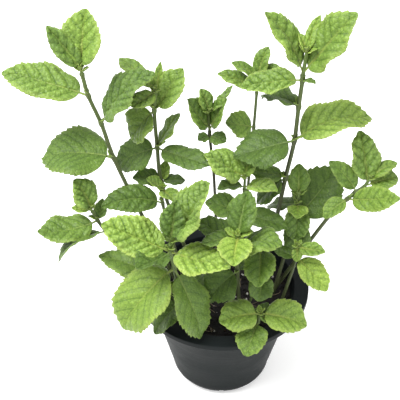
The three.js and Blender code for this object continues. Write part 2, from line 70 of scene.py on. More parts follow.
SHOOTS = [
  {
    "name": "left_tall", "radius": 1.5, "tip": 5,
    "path": [[-28, 2, 66], [-34, 2, 84], [-75, 5, 198], [-82, 8, 224],
      [-89, 9, 245], [-92, 10, 261]],
    "whorls": [
      [2, [[177, -2, 53, 44, 17, 49]]],
      [3, [[4, 47, 54, 33, -15, 34]]],
      [4, [[170, 13, 60, 29, 18, 10]]],
      [5, [[75, 65, 40, 27, 0, 25], [164, 54, 36, 14, 52, 24]]],
    ],
  },
  {
    "name": "left_back", "radius": 1.4, "tip": 5,
    "path": [[-18, 14, 66], [-21, 14, 84], [-44, 13, 172], [-46, 15, 200],
      [-47, 15, 230], [-46, 15, 243]],
    "whorls": [
      [2, [[15, -5, 18, 13, 0, 20], [-179, 12, 21, 16, 20, 20], [70, 50, 16, 9, 0, -30]]],
      [3, [[168, -29, 37, 26, 35, 10], [-28, -1, 41, 20, -10, -18], [30, 54, 29, 17, 13, 3]]],
      [4, [[32, 50, 34, 23, -20, -20], [-171, -55, 29, 27, 26, 26]]],
      [5, [[56, 72, 20, 6, -14, -32], [-137, -9, 21, 15, 11, -11], [136, 18, 37, 15, -1, 28]]],
    ],
  },
  {
    "name": "centre_thin", "radius": 1.1, "tip": 4,
    "path": [[-2, 20, 66], [-3, 20, 84], [-7, 23, 173], [-10, 25, 203],
      [-10, 25, 207], [-11, 25, 220]],
    "whorls": [
      [3, [[-159, -9, 9, 10, 9, 4], [-28, -4, 13, 14, -10, 19]]],
      [4, [[-169, 60, 30, 21, 33, -10], [-12, 68, 28, 18, -35, -16]]],
      [5, [[139, 67, 18, 12, 6, 24], [16, 50, 26, 10, -1, -41]]],
    ],
  },
  {
    "name": "back_thin", "radius": 1.1, "tip": 3,
    "path": [[14, 28, 66], [15, 28, 84], [21, 34, 204], [22, 35, 232], [22, 35, 241]],
    "whorls": [
      [2, [[-158, 22, 24, 20, 40, 10]]],
      [3, [[174, 23, 30, 14, 15, 20], [17, 20, 22, 14, 0, 20]]],
      [4, [[168, 28, 21, 13, 0, 20], [42, 67, 23, 13, 0, 20], [-10, 35, 18, 12, -30, 20]]],
    ],
  },
  {
    "name": "right_tall", "radius": 1.5, "tip": 6,
    "path": [[29, 10, 66], [32, 10, 84], [43, 10, 178], [47, 10, 209],
      [48, 10, 236], [49, 10, 256], [49, 10, 260], [50, 10, 274]],
    "whorls": [
      [2, [[175, 9, 26, 15, 15, 20], [-175, -48, 30, 20, 10, 20]]],
      [3, [[12, 10, 59, 33, -10, 60], [-172, -13, 43, 34, 15, 15]]],
      [4, [[150, 0, 28, 27, -7, 47]]],
      [5, [[-177, -6, 41, 20, 15, 20], [-38, 8, 10, 7, 0, 10]]],
      [6, [[168, 57, 48, 21, 18, 18], [-11, 58, 53, 31, -32, -9]]],
      [7, [[60, 47, 26, 8, -8, 5], [128, 55, 13, 8, 0, 10]]],
    ],
  },
  {
    "name": "right_wide", "radius": 1.4, "tip": 5,
    "path": [[34, 2, 66], [43, 2, 84], [78, 0, 157], [86, 0, 167],
      [91, 0, 173], [97, 0, 178], [99, 1, 182]],
    "whorls": [
      [3, [[-41, 28, 44, 18, -60, -16], [-150, -24, 22, 14, 10, 10]]],
      [4, [[168, 48, 32, 14, 50, 45]]],
      [5, [[113, 62, 39, 21, 4, 12], [10, 8, 23, 17, -30, 20]]],
      [6, [[21, 25, 23, 13, 0, 60]]],
    ],
  },
  {
    "name": "right_inner", "radius": 1.3, "tip": 4,
    "path": [[36, -4, 66], [40, -2, 84], [52, 9, 143], [53, 10, 154], [53, 10, 161]],
    "whorls": [
      [2, [[30, 46, 48, 36, -30, -30], [-84, -58, 31, 20, 0, 20], [-52, -62, 22, 13, 20, 20]]],
      [3, [[-95, 0, 16, 15, 0, 10], [140, -28, 31, 15, 15, 20],
        [-97, -57, 27, 19, 0, 20]]],
      [4, [[90, 68, 23, 16, 0, 15]]],
    ],
  },
  {
    "name": "right_low", "radius": 1.2, "tip": 3,
    "path": [[40, -16, 66], [44, -16, 84], [52, -15, 126], [52, -15, 134]],
    "whorls": [
      [2, [[-43, -27, 33, 20, -13, 24], [159, 8, 17, 12, 0, 10]]],
      [3, [[-32, 15, 22, 12, -23, -22], [-97, -41, 11, 8, 0, 10]]],
    ],
  },
  {
    "name": "front_right", "radius": 1.2, "tip": 3,
    "path": [[20, -38, 66], [22, -43, 84], [24, -50, 96], [25, -50, 103]],
    "whorls": [
      [2, [[-111, -18, 28, 22, 0, 40], [55, 38, 16, 12, 0, 10]]],
      [3, [[-168, -4, 30, 26, 15, 20], [-14, -6, 34, 26, -15, 20], [-45, -23, 9, 6, 0, 0]]],
    ],
  },
  {
    "name": "front_left", "radius": 1.5, "tip": 6,
    "path": [[-22, -28, 66], [-25, -32, 84], [-30, -38, 105], [-32, -41, 122],
      [-34, -45, 143], [-36, -45, 158], [-36, -45, 165]],
    "whorls": [
      [2, [[-146, -41, 31, 22, 0, 20]]],
      [3, [[159, 10, 63, 24, 8, 25], [26, -30, 37, 26, -20, 20]]],
      [4, [[-151, -43, 59, 40, 12, 45], [-42, -62, 58, 30, 0, 20]]],
      [5, [[173, 24, 50, 28, 28, -4], [-33, 13, 47, 29, -5, -13],
        [-132, 15, 33, 22, -3, -33]]],
      [6, [[51, 78, 32, 17, -25, -2], [19, 58, 51, 39, 0, -25]]],
    ],
  },
  {
    "name": "left_low", "radius": 1.3, "tip": 4,
    "path": [[-29, -14, 66], [-38, -14, 84], [-82, -15, 150], [-87, -15, 160], [-90, -15, 168]],
    "whorls": [
      [2, [[-149, -14, 43, 20, -24, 60]]],
      [3, [[-160, 4, 43, 27, 11, -45], [75, 40, 17, 10, 0, -70]]],
      [4, [[154, 61, 25, 20, 16, 21], [177, 5, 14, 7, 24, -32]]],
    ],
  },
  {
    "name": "centre_top", "radius": 1.2, "tip": 3,
    "path": [[10, -4, 66], [11, -4, 84], [13, -1, 154], [14, 0, 176], [14, 0, 183]],
    "whorls": [
      [2, [[170, 16, 28, 22, 10, 15], [-14, -10, 34, 19, -13, 8]]],
      [3, [[-25, 10, 25, 17, 0, 20], [-167, 4, 20, 13, 0, 15]]],
      [4, [[175, 33, 34, 27, 11, -7], [50, 66, 19, 14, 0, 15]]],
    ],
  },
  {
    "name": "front_centre", "radius": 1.3, "tip": 4,
    "path": [[12, -24, 66], [12, -27, 84], [9, -37, 133], [8, -43, 159], [8, -46, 170]],
    "whorls": [
      [2, [[-160, -42, 29, 28, 20, 20], [60, 0, 17, 13, 0, 10]]],
      [3, [[152, 24, 33, 24, 0, 20], [-12, 18, 33, 30, 9, 52]]],
      [4, [[-97, -5, 26, 23, 0, 25], [70, 48, 32, 20, 0, 20], [167, 34, 11, 8, 0, 20],
        [11, 22, 11, 8, 0, 20], [-165, 2, 25, 15, 0, 15]]],
    ],
  },
  {
    "name": "left_inner", "radius": 1.2, "tip": 3,
    "path": [[-24, -4, 66], [-27, -3, 84], [-43, 4, 160], [-43, 5, 169]],
    "whorls": [
      [2, [[-156, 14, 48, 21, 35, 46]]],
      [3, [[165, 35, 14, 11, 0, 10], [-55, 2, 17, 14, 0, 10]]],
    ],
  },
  {
    "name": "front_low", "radius": 1.1, "tip": 2,
    "path": [[15, -25, 66], [17, -28, 84], [25, -36, 128], [24, -35, 149]],
    "whorls": [
      [2, [[-94, -39, 20, 18, 8, 35]]],
      [3, [[-96, -16, 30, 22, -5, 36]]],
    ],
  },
]

# How each leaf looks, whorl by whorl in the order above: tone (0 old and dark, 1 young and
# bright) and quilting between the veins (0 smooth, 1 strong), which also sets how much
# shade is painted into the creases and how much highlight is painted onto the domes.

LOOKS = {
    "left_tall": [
        [(0.31, 0.3)], [(0.3, 0.85)], [(0.54, 0.75)], [(0.62, 0.6), (0.36, 0.7)]],
    "left_back": [
        [(0.1, 0.2), (0.1, 0.2), (0.7, 0.4)], [(0.12, 0.2), (0.16, 0.25), (0.46, 0.2)],
        [(0.56, 0.5), (0.46, 0.4)], [(0.62, 0.5), (0.5, 0.5), (0.55, 0.6)]],
    "centre_thin": [
        [(0.25, 0.5), (0.3, 0.6)], [(0.36, 0.4), (0.36, 0.4)], [(0.5, 0.9), (0.38, 0.8)]],
    "back_thin": [
        [(0.42, 0.2)], [(0.5, 0.5), (0.4, 0.4)], [(0.46, 0.4), (0.5, 0.5), (0.45, 0.5)]],
    "right_tall": [
        [(0.26, 0.2), (0.06, 0.2)], [(0.7, 0.6), (0.08, 0.2)], [(0.16, 0.4)],
        [(0.6, 1.0), (0.4, 0.5)], [(0.56, 0.55), (0.56, 0.5)], [(0.72, 0.6), (0.8, 0.5)]],
    "right_wide": [
        [(0.6, 0.4), (0.5, 0.3)], [(0.36, 0.3)], [(0.46, 0.8), (0.56, 0.6)], [(0.6, 0.4)]],
    "right_inner": [
        [(0.16, 0.18), (0.18, 0.3), (0.24, 0.2)], [(0.75, 0.3), (0.08, 0.2), (0.32, 0.6)],
        [(0.32, 0.25)]],
    "right_low": [[(0.92, 0.45), (0.1, 0.2)], [(0.6, 0.6), (0.7, 0.5)]],
    "front_right": [[(0.42, 0.3), (0.15, 0.2)], [(0.62, 0.4), (0.68, 0.4), (0.35, 0.3)]],
    "front_left": [
        [(0.22, 0.15)], [(0.44, 0.12), (0.06, 0.1)], [(0.66, 0.22), (0.34, 0.14)],
        [(0.78, 1.0), (0.9, 0.9), (0.1, 0.5)], [(0.28, 0.95), (0.58, 0.95)]],
    "left_low": [[(0.28, 0.4)], [(0.42, 0.5), (0.3, 0.4)], [(0.5, 0.9), (0.85, 0.6)]],
    "centre_top": [
        [(0.3, 0.3), (0.08, 0.2)], [(0.7, 0.85), (0.2, 0.3)], [(0.62, 0.9), (0.55, 0.8)]],
    "front_centre": [
        [(0.06, 0.1), (0.06, 0.1)], [(0.24, 0.4), (0.46, 0.5)],
        [(0.9, 0.6), (0.2, 0.5), (0.8, 0.6), (0.8, 0.6), (0.28, 0.4)]],
    "left_inner": [[(0.2, 0.6)], [(0.6, 0.5), (0.65, 0.6)]],
    "front_low": [[(0.14, 0.2)], [(0.36, 0.15)]],
}

# ---- camera ----

CAMERA_PLACE = (-16.667, -468.358, 537.711)
CAMERA_DOWN = 38.44  # degrees below level
CAMERA_LENS = 77.22  # millimetres on a 36 mm sensor
SENSOR = 36

# ---- leaf ----

BLADE_START = 0.10  # share of a leaf's length that is bare stalk
BLADE_END = 0.98  # the blade's last tooth reaches on to the leaf's full length
OUTLINE_POWERS = (0.50, 0.68)  # rounded base, bluntly pointed end
POINTED = 0.26  # how much the blade narrows towards its tip
HALF_WIDTH = 0.49  # of the leaf's width, without the teeth
LOPSIDED = 0.03  # one half of a blade is up to this much wider
UNEVEN = 0.032  # slow swelling and narrowing of the outline
FOLD = 19  # degrees between level and a blade's half at the midrib
YOUNG_FOLD = 32
GRID = 0.72  # spacing of a blade's mesh
LEAST_COLUMNS, MOST_COLUMNS = 4, 30
THICKNESS = 0.42

TOOTH_PITCH = 3.6
LEAST_TEETH, MOST_TEETH = 4, 15
TOOTH_DEPTH = 0.07  # of the half width
TOOTH_ROWS = (0.0, 0.22, 0.44, 0.64, 0.80, 0.90)
TOOTH_PEAK = 0.80
TOOTH_LEAN = 0.9  # how far a tooth's point lies ahead, of its depth
SHARPNESS = (0.45, 1.2)  # smallest and largest tooth, of the usual one

VEIN_PITCH = 8.0  # between side veins, along the blade
LEAST_VEINS, MOST_VEINS = 4, 6
VEIN_LEAN = (0.72, 0.90)  # how steeply a side vein leaves the midrib
VEIN_CURVE = 1.1
VEIN_WANDER = 0.055  # of the distance between two side veins
QUILT_HEIGHT = 0.23  # of the distance between two side veins

EDGE_WAVE = 0.056  # these four are shares of the width or the length
CRUMPLE = 0.012
DROOP = 0.06
SWAY = 0.025
TWIST = 9  # degrees, either way


def smooth(low, high, x):
    """0 below low, 1 above high, with an even ease between."""
    share = np.clip((x - low) / (high - low), 0, 1)
    return share * share * (3 - 2 * share)


def bump(distance, width):
    """1 on a line, falling away to nothing at about twice the width."""
    return np.exp(-((distance / width) ** 2))


class Shape:
    """Collects the points, faces and point values of one piece, in millimetres."""

    VALUES = ("tone", "dome", "vein", "rib", "edge", "under", "quilt", "chance")

    def __init__(self):
        self.points = []
        self.faces = []
        self.slots = []
        self.values = {name: [] for name in self.VALUES}
        self.places = []
        self.count = 0

    def add(self, points, faces, slot=0, place=None, **values):
        """faces is a list of tuples of indices into points; place is a point's own flat place."""
        points = np.asarray(points, float)
        self.points.append(points)
        self.faces.extend(tuple(k + self.count for k in face) for face in faces)
        self.slots.extend([slot] * len(faces))
        self.places.append(points if place is None else place)
        for name in self.VALUES:
            value = values.get(name, 0)
            self.values[name].append(np.broadcast_to(np.asarray(value, float), (len(points),)))
        self.count += len(points)

    def piece(self, name, materials, node, sharp=None):
        mesh = bpy.data.meshes.new(name)
        mesh.from_pydata((np.vstack(self.points) * MM).tolist(), [], self.faces)
        for value_name, value in self.values.items():
            layer = mesh.attributes.new(value_name, "FLOAT", "POINT")
            layer.data.foreach_set("value", np.concatenate(value).astype(np.float32))
        layer = mesh.attributes.new("place", "FLOAT_VECTOR", "POINT")
        layer.data.foreach_set("vector", np.vstack(self.places).astype(np.float32).ravel())
        for material in materials:
            mesh.materials.append(material)
        mesh.polygons.foreach_set("material_index", self.slots)
        mesh.polygons.foreach_set("use_smooth", [True] * len(mesh.polygons))
        if sharp is not None:
            mesh.set_sharp_from_angle(angle=math.radians(sharp))
        mesh.update()
        obj = bpy.data.objects.new(name, mesh)
        bpy.context.scene.collection.objects.link(obj)
        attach(obj, "root")
        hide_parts(node)
        return obj


def grid_faces(rows, columns, start=0, flip=False):
    """Quads of a grid of points that is stored row by row."""
    faces = []
    for i in range(rows - 1):
        for j in range(columns - 1):
            a = start + i * columns + j
            quad = (a, a + 1, a + columns + 1, a + columns)
            faces.append(quad[::-1] if flip else quad)
    return faces


def sheet_faces(rows, columns):
    """Faces of a closed thin sheet: an upper grid, a lower grid and the rim between them."""
    size = rows * columns
    faces = grid_faces(rows, columns) + grid_faces(rows, columns, start=size, flip=True)
    rim = list(range(columns))
    rim += [i * columns + columns - 1 for i in range(1, rows)]
    rim += [(rows - 1) * columns + j for j in range(columns - 2, -1, -1)]
    rim += [i * columns for i in range(rows - 2, 0, -1)]
    for k, here in enumerate(rim):
        after = rim[(k + 1) % len(rim)]
        faces.append((after, here, here + size, after + size))
    return faces


def tube_faces(rings, around):
    """Faces of a closed tube: its sides and a cap at each end."""
    faces = []
    for i in range(rings - 1):
        for j in range(around):
            after = (j + 1) % around
            a, b = i * around, (i + 1) * around
            faces.append((a + j, a + after, b + after, b + j))
    faces.append(tuple(range(around))[::-1])
    faces.append(tuple((rings - 1) * around + j for j in range(around)))
    return faces


def midrib(leaf, base, shares):
    """Points, side and upper directions of a leaf's midrib at each share of its length."""
    heading, rise, length, _, roll, arch = leaf
    steps = 200
    fine = np.linspace(0, 1, steps + 1)
    tilt = np.radians(rise + arch * (0.5 - fine))
    level = np.array([math.cos(math.radians(heading)), math.sin(math.radians(heading)), 0])
    flat_side = np.array([level[1], -level[0], 0])
    forward = np.outer(np.cos(tilt), level) + np.outer(np.sin(tilt), (0, 0, 1))
    travelled = np.cumsum(forward[:-1] + forward[1:], axis=0) * length / steps / 2
    points = np.vstack([base, base + travelled])
    top = np.cross(flat_side, forward)
    turn = math.radians(roll)
    side = math.cos(turn) * flat_side + math.sin(turn) * top
    upper = np.cross(side, forward)

    def at(values):
        inside = np.clip(shares, 0, 1)
        return np.stack([np.interp(inside, fine, values[:, k]) for k in range(3)], axis=-1)

    beyond = (shares - np.clip(shares, 0, 1))[..., None] * length
    return at(points) + at(forward) * beyond, at(side), at(upper)


def cell_depth(x, y, cell, rng):
    """How far inside a cell of an uneven honeycomb each point lies: 0 at the wall, 1 deep in."""
    rows = np.arange(x.min() - cell, x.max() + cell, cell * 0.87)
    columns = np.arange(-cell, y.max() + cell, cell)
    seeds = np.array([(r, c + (i % 2) * cell / 2) for i, r in enumerate(rows) for c in columns])
    seeds += rng.uniform(-0.42, 0.42, seeds.shape) * cell
    apart = np.hypot(x[:, None] - seeds[:, 0], y[:, None] - seeds[:, 1])
    nearest = np.partition(apart, 1, axis=1)
    return (nearest[:, 1] - nearest[:, 0]) / cell


def blade_margin(along, w, half, teeth, rng):
    """A blade's half width at each place, and how far the teeth push the place ahead."""
    left = w < 0
    rise_power, fall_power = OUTLINE_POWERS
    peak_at = rise_power / (rise_power + fall_power)
    peak = peak_at ** rise_power * (1 - peak_at) ** fall_power
    outline = along ** rise_power * (1 - along) ** fall_power / peak
    outline = outline * (1 - POINTED * smooth(0.76, 1.0, along))
    uneven = rng.uniform(-LOPSIDED, LOPSIDED) * np.where(left, 1, -1)
    swell = np.where(left, *rng.uniform(0, 1, 2))
    uneven = uneven + UNEVEN * np.sin(2 * math.pi * (1.7 * along + swell))
    reach = half * outline * (1 + uneven)

    phase = along * teeth % 1
    tooth = np.where(phase < TOOTH_PEAK, phase / TOOTH_PEAK, (1 - phase) / (1 - TOOTH_PEAK))
    number = np.minimum((along * teeth).astype(int), teeth - 1)
    sharpness = rng.uniform(*SHARPNESS, (2, teeth))[left.astype(int), number]
    ends = smooth(0.03, 0.15, along) * (1 - 0.5 * smooth(0.85, 1, along))
    tooth_reach = TOOTH_DEPTH * half * sharpness * ends
    margin = smooth(0.80, 1.0, np.abs(w))
    reach = np.maximum(reach + (tooth - 0.3) * tooth_reach * margin, PETIOLE_HALF * 0.6)
    reach = np.where(along > 0.999, 0.25, reach)
    return reach, TOOTH_LEAN * tooth * tooth_reach * margin


def blade_veins(along, w, a, blade, width, fold, rng):
    """How strongly midrib, side veins and net show at each place, and how high it is domed.

    The side veins leave the midrib about evenly, lean forward and curve to the tip.
    """
    left = w < 0
    count = int(np.clip(round(blade / VEIN_PITCH), LEAST_VEINS, MOST_VEINS))
    pitch = blade / count
    y = a / blade
    starts = along - rng.uniform(*VEIN_LEAN) * y - VEIN_CURVE * y * y
    lines = count * starts * (1.10 - 0.10 * along) + np.where(left, 0.5, 0.0) + rng.uniform(0, 0.3)
    for _ in range(3):
        kx, ky = rng.uniform(2.5, 6.5), rng.uniform(-9, 9)
        shift = rng.uniform(0, ANY_ANGLE) * np.where(left, 1, -1)
        lines += VEIN_WANDER * np.sin(kx * along + ky * y + shift)
    off = np.abs(lines - np.round(lines)) * pitch * 0.72
    fade = smooth(0.0, 0.6, lines) * (1 - smooth(0.84, 0.98, np.abs(w)))
    beat = rng.uniform(5, 9) * y + 2.4 * np.round(lines) + rng.uniform(0, ANY_ANGLE)
    side_vein = bump(off, 0.26 + 0.03 * width ** 0.5) * fade * (0.84 + 0.16 * np.sin(beat))
    mid_width = (0.45 if fold == FOLD else 1.1) + 0.010 * width
    mid_vein = bump(a, mid_width) * (1 - 0.6 * along)

    depth = np.zeros_like(a)
    for part in (left, ~left):
        depth[part] = cell_depth(along[part] * blade, a[part], max(1.5, 0.50 * pitch), rng)
    net = (1 - smooth(0.0, 0.18, depth)) * (1 - side_vein)
    between = smooth(0.0, 0.42 * pitch, off * fade + (1 - fade) * 0.3 * pitch)
    dome = (0.62 * between + 0.38 * smooth(0.0, 0.6, depth)) * (1 - 0.7 * mid_vein)
    return mid_vein, side_vein, net, dome, pitch


def blade_form(leaf, base, shares, along, w, a, fold, rng):
    """The smooth sheet of a blade, folded, wavy, drooping and twisted, and its upper side."""
    length, width = leaf[2], leaf[3]
    blade = length * (1 - BLADE_START)
    left = w < 0
    slope = math.tan(math.radians(fold + rng.uniform(-5, 5)))
    ease = rng.uniform(0.35, 0.95)
    lift = a * slope * (1 - ease * w * w)
    wave = EDGE_WAVE * width * rng.uniform(0.5, 1.25)
    turns = rng.uniform(1.3, 2.4)
    phase = 2 * math.pi * turns * along + np.where(left, *rng.uniform(0, ANY_ANGLE, 2))
    calm = smooth(0, 0.25, along) * (1 - 0.75 * smooth(0.55, 1.0, along))
    lift += wave * np.abs(w) ** 1.7 * np.sin(phase) * calm
    for _ in range(4):
        kx, ky = rng.uniform(-1, 1, 2) * 2 * math.pi / (0.55 * width)
        phase = kx * along * blade + ky * a * np.where(left, 1, -1) + rng.uniform(0, ANY_ANGLE)
        lift += CRUMPLE * width * np.sin(phase) * np.abs(w)
    lift -= rng.uniform(0.0, DROOP) * length * smooth(0.55, 1.0, along) ** 2
    sway = rng.uniform(-SWAY, SWAY) * length * np.sin(math.pi * along)
    point, side, upper = midrib(leaf, base, shares)
    turn = (math.radians(rng.uniform(-TWIST, TWIST)) * smooth(0.1, 1.0, along))[..., None]
    side, upper = (side * np.cos(turn) + upper * np.sin(turn),
                   upper * np.cos(turn) - side * np.sin(turn))
    surface = point + side * (np.sign(w) * a + sway)[..., None] + upper * lift[..., None]
    return surface, upper


def add_blade(shape, leaf, base, tone, quilt, rng, fold=FOLD):
    """One leaf's blade: a thin quilted sheet with a toothed margin and sunken veins."""
    length, width = leaf[2], leaf[3]
    blade = length * (1 - BLADE_START)
    half = width * HALF_WIDTH
    teeth = int(np.clip(round(blade / TOOTH_PITCH), LEAST_TEETH, MOST_TEETH))
    rows = np.append((np.arange(teeth)[:, None] + np.array(TOOTH_ROWS)).ravel(), teeth) / teeth
    columns = int(np.clip(math.ceil(half / GRID), LEAST_COLUMNS, MOST_COLUMNS))
    along, w = np.meshgrid(rows, np.linspace(-1, 1, 2 * columns + 1), indexing="ij")

    reach, ahead = blade_margin(along, w, half, teeth, rng)
    a = np.abs(w) * reach
    mid_vein, side_vein, net, dome, pitch = blade_veins(along, w, a, blade, width, fold, rng)
    shares = BLADE_START + (BLADE_END - BLADE_START) * along + ahead / length
    surface, upper = blade_form(leaf, base, shares, along, w, a, fold, rng)

    # relief along the surface's own normal
    normal = np.cross(np.gradient(surface, axis=1), np.gradient(surface, axis=0))
    normal /= np.linalg.norm(normal, axis=2, keepdims=True) + 1e-9
    normal *= np.sign(np.sum(normal * upper, axis=2, keepdims=True))
    inner = 1 - smooth(0.80, 1.0, np.abs(w))
    ends = smooth(0.0, 0.12, along) * (1 - smooth(0.9, 1.0, along))
    height = quilt * QUILT_HEIGHT * pitch * ends * (0.35 + 0.65 * inner)
    relief = height * (dome - 0.36 * side_vein - 0.12 * net)
    relief = relief - (0.20 + 0.4 * quilt) * mid_vein * ends
    thick = THICKNESS * (1 - 0.5 * np.abs(w) ** 4)
    raised = (0.16 * side_vein + 0.06 * net * inner) * quilt
    raised = raised + 0.35 * mid_vein * smooth(0, 0.1, along)
    top = surface + normal * (relief + thick / 2)[..., None]
    bottom = surface + normal * (relief * 0.9 - thick / 2 - raised)[..., None]

    flat = [shares * length, np.sign(w) * a, np.full_like(a, rng.uniform(0, 500))]
    flat = np.stack(flat, axis=-1).reshape(-1, 3)
    values = {
        "tone": tone,
        "dome": np.tile(dome.ravel(), 2),
        "vein": np.tile(np.maximum(side_vein, 0.45 * net * inner).ravel(), 2),
        "rib": np.tile(np.maximum(mid_vein, 0.35 * side_vein).ravel(), 2),
        "edge": np.tile(smooth(0.74, 1.0, np.abs(w)).ravel(), 2),
        "under": np.repeat((0.0, 1.0), w.size),
        "quilt": quilt,
        "chance": rng.uniform(0, 1),
    }
    points = np.vstack([top.reshape(-1, 3), bottom.reshape(-1, 3)])
    shape.add(points, sheet_faces(*w.shape), place=np.vstack([flat, flat]), **values)


def add_stalk(shape, leaf, base, tone):
    """A leaf's stalk, which runs on as the raised midrib under its blade."""
    around, rings = 8, 14
    length, width = leaf[2], leaf[3]
    shares = np.linspace(0, 0.55, rings)
    point, side, upper = midrib(leaf, base, shares)
    thick = 0.34 + 0.012 * width
    radius = thick * (1 - 0.65 * smooth(0.1, 0.55, shares)) * (1 + 0.35 * bump(shares, 0.03))
    drop = radius * 0.9 * smooth(BLADE_START * 0.7, BLADE_START * 1.8, shares)
    angle = np.linspace(0, 2 * math.pi, around, endpoint=False)
    ring = np.cos(angle)[None, :, None] * side[:, None, :] * 1.15
    ring = ring + np.sin(angle)[None, :, None] * upper[:, None, :]
    points = point[:, None, :] + ring * radius[:, None, None] - (upper * drop[:, None])[:, None, :]
    points = points.reshape(-1, 3)
    place = [np.repeat(shares * length, around), np.tile(angle, rings), np.zeros(len(points))]
    shape.add(points, tube_faces(rings, around), place=np.stack(place, axis=-1),
              tone=tone, rib=0.8, dome=0.5, under=0.4, chance=0.5)


def add_leaf(shape, leaf, base, tone, quilt, rng, fold=FOLD):
    add_blade(shape, leaf, base, tone, quilt, rng, fold)
    add_stalk(shape, leaf, base, tone)


# ---- stems ----

AROUND = 24  # points round a stem
STEM_STEPS = 30  # rings of a stem between two of its path's points
FINE_STEPS = 60  # steps of a path from which a direction is taken
NODE_SWELL = 0.38  # of the stem's radius, where leaves grow


def curve_points(points, steps):
    """A centripetal Catmull-Rom curve through the points, as the CAD draws a stem."""
    points = [np.array(p, float) for p in points]
    first = 2 * points[0] - points[1]
    last = 2 * points[-1] - points[-2]
    padded = [first] + points + [last]
    line = []
    for i in range(len(points) - 1):
        p0, p1, p2, p3 = padded[i:i + 4]
        d0, d1, d2 = (np.linalg.norm(q - p) ** 0.5 for p, q in ((p0, p1), (p1, p2), (p2, p3)))
        t1 = ((p1 - p0) / d0 - (p2 - p0) / (d0 + d1) + (p2 - p1) / d1) * d1
        t2 = ((p2 - p1) / d1 - (p3 - p1) / (d1 + d2) + (p3 - p2) / d2) * d1
        square, cube = 3 * p2 - 3 * p1 - 2 * t1 - t2, 2 * p1 - 2 * p2 + t1 + t2
        for s in np.linspace(0, 1, steps, endpoint=False):
            line.append(p1 + t1 * s + square * s ** 2 + cube * s ** 3)
    line.append(points[-1])
    return np.array(line)


def sweep(line, radius_at):
    """Rings of a square, round-cornered stem along a line, turned as little as possible."""
    tangent = np.gradient(line, axis=0)
    tangent /= np.linalg.norm(tangent, axis=1, keepdims=True)
    across = np.cross(tangent[0], (0.3, 1, 0))
    angle = np.linspace(0, 2 * math.pi, AROUND, endpoint=False)
    section = 0.84 + 0.16 * np.cos(4 * angle) - 0.05 * np.cos(8 * angle)
    rings = []
    for point, ahead, radius in zip(line, tangent, radius_at):
        across = across - ahead * np.dot(across, ahead)
        across /= np.linalg.norm(across)
        up = np.cross(ahead, across)
        ring = np.outer(np.cos(angle) * section, across) + np.outer(np.sin(angle) * section, up)
        rings.append(point + ring * radius)
    return np.array(rings)


def add_stem(shape, line, radius_at, green, slot=0):
    """green is 0 for old purple-brown stem and 1 for young green stem, at each point."""
    rings = sweep(line, radius_at)
    travelled = np.append(0, np.cumsum(np.linalg.norm(np.diff(line, axis=0), axis=1)))
    angle = np.tile(np.linspace(0, 2 * math.pi, AROUND, endpoint=False), len(line))
    place = np.stack([np.repeat(travelled, AROUND), np.cos(angle) * 3, np.sin(angle) * 3], axis=-1)
    corner = 0.5 + 0.5 * np.cos(4 * angle)
    shape.add(rings.reshape(-1, 3), tube_faces(len(line), AROUND), slot=slot, place=place,
              tone=np.repeat(green, AROUND), edge=corner)


def end_direction(points):
    line = curve_points(points, FINE_STEPS)
    along = line[-1] - line[-2]
    return along / np.linalg.norm(along)


STEM_GREEN = {  # how green each stem is at the soil and at its top
    "centre_thin": (0.0, 0.25), "back_thin": (0.3, 0.7), "left_tall": (0.35, 0.65),
    "right_tall": (0.2, 0.7), "left_back": (0.3, 0.75), "front_left": (0.3, 0.9),
}
USUAL_GREEN = (0.2, 0.7)


def stem_piece(shoot):
    name, tip = shoot["name"], shoot["tip"]
    path = shoot["path"][:tip + 1]
    line = curve_points(path, STEM_STEPS)
    share = np.linspace(0, 1, len(line))
    radius = shoot["radius"] * (1.12 - 0.17 * share)
    low, high = STEM_GREEN.get(name, USUAL_GREEN)
    for index, _ in shoot["whorls"]:
        if index <= tip:
            apart = np.linalg.norm(line - np.array(path[index]), axis=1)
            radius = radius + NODE_SWELL * shoot["radius"] * bump(apart, 1.9)
    shape = Shape()
    add_stem(shape, line, radius, low + (high - low) * share ** 1.5)
    return shape.piece(f"stem_{name}_grown", [stem_look], f"stem_{name}")


# ---- whorls and tips ----

AXIL_LEAF = 6.5  # length of the tiny leaves beside a stalk
NARROWEST_WITH_AXIL = 15  # narrower leaves have none beside their stalk
AXIL_TURNS = (-35, 40)  # degrees from the leaf, to either side


def add_axil_leaves(shape, leaves, base, along, rng):
    """Two tiny young leaves in the angle between each leaf and the stem."""
    for leaf in leaves:
        if leaf[3] < NARROWEST_WITH_AXIL or rng.uniform() < 0.25:
            continue
        for turn in AXIL_TURNS:
            length = AXIL_LEAF * rng.uniform(0.7, 1.2)
            heading, rise = leaf[0] + turn + rng.uniform(-20, 20), rng.uniform(25, 65)
            small = [heading, rise, length, length * 0.55, 0, 25]
            add_leaf(shape, small, base + along * 0.8, 0.75, 0.5, rng)


def whorl_piece(shoot, number, whorl, look, rng):
    index, leaves = whorl
    tip = shoot["tip"]
    base = np.array(shoot["path"][index], float)
    line = curve_points(shoot["path"][:tip + 1], FINE_STEPS)
    here = min(index * FINE_STEPS, len(line) - 2)
    along = line[here + 1] - line[here]
    along /= np.linalg.norm(along)
    shape = Shape()
    for leaf, (tone, quilt) in zip(leaves, look):
        add_leaf(shape, leaf, base, tone, quilt, rng)
    add_axil_leaves(shape, leaves, base, along, rng)
    node = f"leaves_{shoot['name']}_{number}"
    return shape.piece(f"{node}_grown", [leaf_look], node)


def add_bud(shape, place, along, heading, size, tone, rng):
    """The youngest leaves of a shoot: pairs that cross each other and stand nearly upright."""
    for level, (rise, share) in enumerate(((38, 1.0), (58, 0.8), (74, 0.6))):
        for side in (0, 180):
            length = size * share * rng.uniform(0.85, 1.1)
            turn = heading + level * 90 + side + rng.uniform(-12, 12)
            small = [turn, rise + rng.uniform(-6, 6), length, length * 0.6, 0, -15 + 20 * level]
            add_leaf(shape, small, place + along * level * 0.7, tone, 0.8, rng, YOUNG_FOLD)


